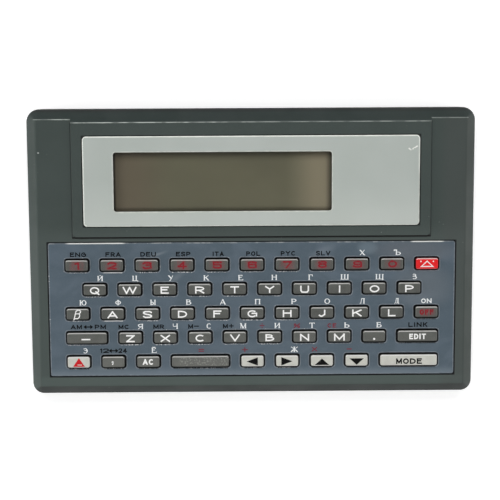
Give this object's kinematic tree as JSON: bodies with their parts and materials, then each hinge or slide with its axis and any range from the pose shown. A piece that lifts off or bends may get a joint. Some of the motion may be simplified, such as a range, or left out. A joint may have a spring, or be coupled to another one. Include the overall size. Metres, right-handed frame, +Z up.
{
  "type": "handheld translator",
  "caption": "Pocket electronic translator: one-piece slab case with a raised display block, small character display and a compact letter keyboard with pressable keys.",
  "frame": {"origin": "centre of the footprint, on the surface the part lies on", "axes": "+X to the right along the keyboard, +Y from the keyboard towards the display, +Z up out of the keys"},
  "size_m": [0.1404, 0.0904, 0.0141],
  "materials": {
    "case": "satin grey-green moulded plastic",
    "painted_plate": "blue-grey paint",
    "silver_plate": "satin silver",
    "display_glass": "reflective liquid crystal cell under a clear pane",
    "silicone": "translucent silicone",
    "board": "solder mask green",
    "cell_steel": "nickel-plated steel",
    "grey_key": "fine matt texture",
    "ivory_key": "fine matt texture",
    "red_key": "fine matt texture"
  },
  "bodies": {
    "case": {"front_case": "case", "back_case": "case", "keyboard_panel": "painted_plate", "display_panel": "silver_plate", "lcd_module": "display_glass", "key_mat": "silicone", "circuit_board": "board", "coin_cells": "cell_steel"},
    "battery_cover": {"battery_cover": "case"},
    "key_1": {"key_1": "grey_key"},
    "key_2": {"key_2": "grey_key"},
    "key_3": {"key_3": "grey_key"},
    "key_4": {"key_4": "grey_key"},
    "key_5": {"key_5": "grey_key"},
    "key_6": {"key_6": "grey_key"},
    "key_7": {"key_7": "grey_key"},
    "key_8": {"key_8": "grey_key"},
    "key_9": {"key_9": "grey_key"},
    "key_0": {"key_0": "grey_key"},
    "key_translate": {"key_translate": "red_key"},
    "key_q": {"key_q": "grey_key"},
    "key_w": {"key_w": "grey_key"},
    "key_e": {"key_e": "grey_key"},
    "key_r": {"key_r": "grey_key"},
    "key_t": {"key_t": "grey_key"},
    "key_y": {"key_y": "grey_key"},
    "key_u": {"key_u": "grey_key"},
    "key_i": {"key_i": "grey_key"},
    "key_o": {"key_o": "grey_key"},
    "key_p": {"key_p": "grey_key"},
    "key_sharp_s": {"key_sharp_s": "grey_key"},
    "key_a": {"key_a": "grey_key"},
    "key_s": {"key_s": "grey_key"},
    "key_d": {"key_d": "grey_key"},
    "key_f": {"key_f": "grey_key"},
    "key_g": {"key_g": "grey_key"},
    "key_h": {"key_h": "grey_key"},
    "key_j": {"key_j": "grey_key"},
    "key_k": {"key_k": "grey_key"},
    "key_l": {"key_l": "grey_key"},
    "key_off": {"key_off": "grey_key"},
    "key_hyphen": {"key_hyphen": "grey_key"},
    "key_z": {"key_z": "grey_key"},
    "key_x": {"key_x": "grey_key"},
    "key_c": {"key_c": "grey_key"},
    "key_v": {"key_v": "grey_key"},
    "key_b": {"key_b": "grey_key"},
    "key_n": {"key_n": "grey_key"},
    "key_m": {"key_m": "grey_key"},
    "key_period": {"key_period": "grey_key"},
    "key_edit": {"key_edit": "grey_key"},
    "key_shift": {"key_shift": "ivory_key"},
    "key_comma": {"key_comma": "grey_key"},
    "key_clear": {"key_clear": "grey_key"},
    "key_space": {"key_space": "grey_key"},
    "key_left": {"key_left": "ivory_key"},
    "key_right": {"key_right": "ivory_key"},
    "key_up": {"key_up": "ivory_key"},
    "key_down": {"key_down": "ivory_key"},
    "key_mode": {"key_mode": "ivory_key"}
  },
  "joints": [
    {"name": "battery_cover_slide", "type": "slide", "parent": "case", "child": "battery_cover", "axis": [0, -1, 0], "range_m": [0, 0.032]},
    {"name": "key_1_press", "type": "slide", "parent": "case", "child": "key_1", "axis": [0, 0, -1], "range_m": [0, 0.0008], "stiffness_N_per_m": 400, "springref_m": -0.0005, "deforming": ["key_mat"]},
    {"name": "key_2_press", "type": "slide", "parent": "case", "child": "key_2", "axis": [0, 0, -1], "range_m": [0, 0.0008], "stiffness_N_per_m": 400, "springref_m": -0.0005, "deforming": ["key_mat"]},
    {"name": "key_3_press", "type": "slide", "parent": "case", "child": "key_3", "axis": [0, 0, -1], "range_m": [0, 0.0008], "stiffness_N_per_m": 400, "springref_m": -0.0005, "deforming": ["key_mat"]},
    {"name": "key_4_press", "type": "slide", "parent": "case", "child": "key_4", "axis": [0, 0, -1], "range_m": [0, 0.0008], "stiffness_N_per_m": 400, "springref_m": -0.0005, "deforming": ["key_mat"]},
    {"name": "key_5_press", "type": "slide", "parent": "case", "child": "key_5", "axis": [0, 0, -1], "range_m": [0, 0.0008], "stiffness_N_per_m": 400, "springref_m": -0.0005, "deforming": ["key_mat"]},
    {"name": "key_6_press", "type": "slide", "parent": "case", "child": "key_6", "axis": [0, 0, -1], "range_m": [0, 0.0008], "stiffness_N_per_m": 400, "springref_m": -0.0005, "deforming": ["key_mat"]},
    {"name": "key_7_press", "type": "slide", "parent": "case", "child": "key_7", "axis": [0, 0, -1], "range_m": [0, 0.0008], "stiffness_N_per_m": 400, "springref_m": -0.0005, "deforming": ["key_mat"]},
    {"name": "key_8_press", "type": "slide", "parent": "case", "child": "key_8", "axis": [0, 0, -1], "range_m": [0, 0.0008], "stiffness_N_per_m": 400, "springref_m": -0.0005, "deforming": ["key_mat"]},
    {"name": "key_9_press", "type": "slide", "parent": "case", "child": "key_9", "axis": [0, 0, -1], "range_m": [0, 0.0008], "stiffness_N_per_m": 400, "springref_m": -0.0005, "deforming": ["key_mat"]},
    {"name": "key_0_press", "type": "slide", "parent": "case", "child": "key_0", "axis": [0, 0, -1], "range_m": [0, 0.0008], "stiffness_N_per_m": 400, "springref_m": -0.0005, "deforming": ["key_mat"]},
    {"name": "key_translate_press", "type": "slide", "parent": "case", "child": "key_translate", "axis": [0, 0, -1], "range_m": [0, 0.0008], "stiffness_N_per_m": 400, "springref_m": -0.0005, "deforming": ["key_mat"]},
    {"name": "key_q_press", "type": "slide", "parent": "case", "child": "key_q", "axis": [0, 0, -1], "range_m": [0, 0.0008], "stiffness_N_per_m": 400, "springref_m": -0.0005, "deforming": ["key_mat"]},
    {"name": "key_w_press", "type": "slide", "parent": "case", "child": "key_w", "axis": [0, 0, -1], "range_m": [0, 0.0008], "stiffness_N_per_m": 400, "springref_m": -0.0005, "deforming": ["key_mat"]},
    {"name": "key_e_press", "type": "slide", "parent": "case", "child": "key_e", "axis": [0, 0, -1], "range_m": [0, 0.0008], "stiffness_N_per_m": 400, "springref_m": -0.0005, "deforming": ["key_mat"]},
    {"name": "key_r_press", "type": "slide", "parent": "case", "child": "key_r", "axis": [0, 0, -1], "range_m": [0, 0.0008], "stiffness_N_per_m": 400, "springref_m": -0.0005, "deforming": ["key_mat"]},
    {"name": "key_t_press", "type": "slide", "parent": "case", "child": "key_t", "axis": [0, 0, -1], "range_m": [0, 0.0008], "stiffness_N_per_m": 400, "springref_m": -0.0005, "deforming": ["key_mat"]},
    {"name": "key_y_press", "type": "slide", "parent": "case", "child": "key_y", "axis": [0, 0, -1], "range_m": [0, 0.0008], "stiffness_N_per_m": 400, "springref_m": -0.0005, "deforming": ["key_mat"]},
    {"name": "key_u_press", "type": "slide", "parent": "case", "child": "key_u", "axis": [0, 0, -1], "range_m": [0, 0.0008], "stiffness_N_per_m": 400, "springref_m": -0.0005, "deforming": ["key_mat"]},
    {"name": "key_i_press", "type": "slide", "parent": "case", "child": "key_i", "axis": [0, 0, -1], "range_m": [0, 0.0008], "stiffness_N_per_m": 400, "springref_m": -0.0005, "deforming": ["key_mat"]},
    {"name": "key_o_press", "type": "slide", "parent": "case", "child": "key_o", "axis": [0, 0, -1], "range_m": [0, 0.0008], "stiffness_N_per_m": 400, "springref_m": -0.0005, "deforming": ["key_mat"]},
    {"name": "key_p_press", "type": "slide", "parent": "case", "child": "key_p", "axis": [0, 0, -1], "range_m": [0, 0.0008], "stiffness_N_per_m": 400, "springref_m": -0.0005, "deforming": ["key_mat"]},
    {"name": "key_sharp_s_press", "type": "slide", "parent": "case", "child": "key_sharp_s", "axis": [0, 0, -1], "range_m": [0, 0.0008], "stiffness_N_per_m": 400, "springref_m": -0.0005, "deforming": ["key_mat"]},
    {"name": "key_a_press", "type": "slide", "parent": "case", "child": "key_a", "axis": [0, 0, -1], "range_m": [0, 0.0008], "stiffness_N_per_m": 400, "springref_m": -0.0005, "deforming": ["key_mat"]},
    {"name": "key_s_press", "type": "slide", "parent": "case", "child": "key_s", "axis": [0, 0, -1], "range_m": [0, 0.0008], "stiffness_N_per_m": 400, "springref_m": -0.0005, "deforming": ["key_mat"]},
    {"name": "key_d_press", "type": "slide", "parent": "case", "child": "key_d", "axis": [0, 0, -1], "range_m": [0, 0.0008], "stiffness_N_per_m": 400, "springref_m": -0.0005, "deforming": ["key_mat"]},
    {"name": "key_f_press", "type": "slide", "parent": "case", "child": "key_f", "axis": [0, 0, -1], "range_m": [0, 0.0008], "stiffness_N_per_m": 400, "springref_m": -0.0005, "deforming": ["key_mat"]},
    {"name": "key_g_press", "type": "slide", "parent": "case", "child": "key_g", "axis": [0, 0, -1], "range_m": [0, 0.0008], "stiffness_N_per_m": 400, "springref_m": -0.0005, "deforming": ["key_mat"]},
    {"name": "key_h_press", "type": "slide", "parent": "case", "child": "key_h", "axis": [0, 0, -1], "range_m": [0, 0.0008], "stiffness_N_per_m": 400, "springref_m": -0.0005, "deforming": ["key_mat"]},
    {"name": "key_j_press", "type": "slide", "parent": "case", "child": "key_j", "axis": [0, 0, -1], "range_m": [0, 0.0008], "stiffness_N_per_m": 400, "springref_m": -0.0005, "deforming": ["key_mat"]},
    {"name": "key_k_press", "type": "slide", "parent": "case", "child": "key_k", "axis": [0, 0, -1], "range_m": [0, 0.0008], "stiffness_N_per_m": 400, "springref_m": -0.0005, "deforming": ["key_mat"]},
    {"name": "key_l_press", "type": "slide", "parent": "case", "child": "key_l", "axis": [0, 0, -1], "range_m": [0, 0.0008], "stiffness_N_per_m": 400, "springref_m": -0.0005, "deforming": ["key_mat"]},
    {"name": "key_off_press", "type": "slide", "parent": "case", "child": "key_off", "axis": [0, 0, -1], "range_m": [0, 0.0008], "stiffness_N_per_m": 400, "springref_m": -0.0005, "deforming": ["key_mat"]},
    {"name": "key_hyphen_press", "type": "slide", "parent": "case", "child": "key_hyphen", "axis": [0, 0, -1], "range_m": [0, 0.0008], "stiffness_N_per_m": 400, "springref_m": -0.0005, "deforming": ["key_mat"]},
    {"name": "key_z_press", "type": "slide", "parent": "case", "child": "key_z", "axis": [0, 0, -1], "range_m": [0, 0.0008], "stiffness_N_per_m": 400, "springref_m": -0.0005, "deforming": ["key_mat"]},
    {"name": "key_x_press", "type": "slide", "parent": "case", "child": "key_x", "axis": [0, 0, -1], "range_m": [0, 0.0008], "stiffness_N_per_m": 400, "springref_m": -0.0005, "deforming": ["key_mat"]},
    {"name": "key_c_press", "type": "slide", "parent": "case", "child": "key_c", "axis": [0, 0, -1], "range_m": [0, 0.0008], "stiffness_N_per_m": 400, "springref_m": -0.0005, "deforming": ["key_mat"]},
    {"name": "key_v_press", "type": "slide", "parent": "case", "child": "key_v", "axis": [0, 0, -1], "range_m": [0, 0.0008], "stiffness_N_per_m": 400, "springref_m": -0.0005, "deforming": ["key_mat"]},
    {"name": "key_b_press", "type": "slide", "parent": "case", "child": "key_b", "axis": [0, 0, -1], "range_m": [0, 0.0008], "stiffness_N_per_m": 400, "springref_m": -0.0005, "deforming": ["key_mat"]},
    {"name": "key_n_press", "type": "slide", "parent": "case", "child": "key_n", "axis": [0, 0, -1], "range_m": [0, 0.0008], "stiffness_N_per_m": 400, "springref_m": -0.0005, "deforming": ["key_mat"]},
    {"name": "key_m_press", "type": "slide", "parent": "case", "child": "key_m", "axis": [0, 0, -1], "range_m": [0, 0.0008], "stiffness_N_per_m": 400, "springref_m": -0.0005, "deforming": ["key_mat"]},
    {"name": "key_period_press", "type": "slide", "parent": "case", "child": "key_period", "axis": [0, 0, -1], "range_m": [0, 0.0008], "stiffness_N_per_m": 400, "springref_m": -0.0005, "deforming": ["key_mat"]},
    {"name": "key_edit_press", "type": "slide", "parent": "case", "child": "key_edit", "axis": [0, 0, -1], "range_m": [0, 0.0008], "stiffness_N_per_m": 400, "springref_m": -0.0005, "deforming": ["key_mat"]},
    {"name": "key_shift_press", "type": "slide", "parent": "case", "child": "key_shift", "axis": [0, 0, -1], "range_m": [0, 0.0008], "stiffness_N_per_m": 400, "springref_m": -0.0005, "deforming": ["key_mat"]},
    {"name": "key_comma_press", "type": "slide", "parent": "case", "child": "key_comma", "axis": [0, 0, -1], "range_m": [0, 0.0008], "stiffness_N_per_m": 400, "springref_m": -0.0005, "deforming": ["key_mat"]},
    {"name": "key_clear_press", "type": "slide", "parent": "case", "child": "key_clear", "axis": [0, 0, -1], "range_m": [0, 0.0008], "stiffness_N_per_m": 400, "springref_m": -0.0005, "deforming": ["key_mat"]},
    {"name": "key_space_press", "type": "slide", "parent": "case", "child": "key_space", "axis": [0, 0, -1], "range_m": [0, 0.0008], "stiffness_N_per_m": 400, "springref_m": -0.0005, "deforming": ["key_mat"]},
    {"name": "key_left_press", "type": "slide", "parent": "case", "child": "key_left", "axis": [0, 0, -1], "range_m": [0, 0.0008], "stiffness_N_per_m": 400, "springref_m": -0.0005, "deforming": ["key_mat"]},
    {"name": "key_right_press", "type": "slide", "parent": "case", "child": "key_right", "axis": [0, 0, -1], "range_m": [0, 0.0008], "stiffness_N_per_m": 400, "springref_m": -0.0005, "deforming": ["key_mat"]},
    {"name": "key_up_press", "type": "slide", "parent": "case", "child": "key_up", "axis": [0, 0, -1], "range_m": [0, 0.0008], "stiffness_N_per_m": 400, "springref_m": -0.0005, "deforming": ["key_mat"]},
    {"name": "key_down_press", "type": "slide", "parent": "case", "child": "key_down", "axis": [0, 0, -1], "range_m": [0, 0.0008], "stiffness_N_per_m": 400, "springref_m": -0.0005, "deforming": ["key_mat"]},
    {"name": "key_mode_press", "type": "slide", "parent": "case", "child": "key_mode", "axis": [0, 0, -1], "range_m": [0, 0.0008], "stiffness_N_per_m": 400, "springref_m": -0.0005, "deforming": ["key_mat"]}
  ]
}
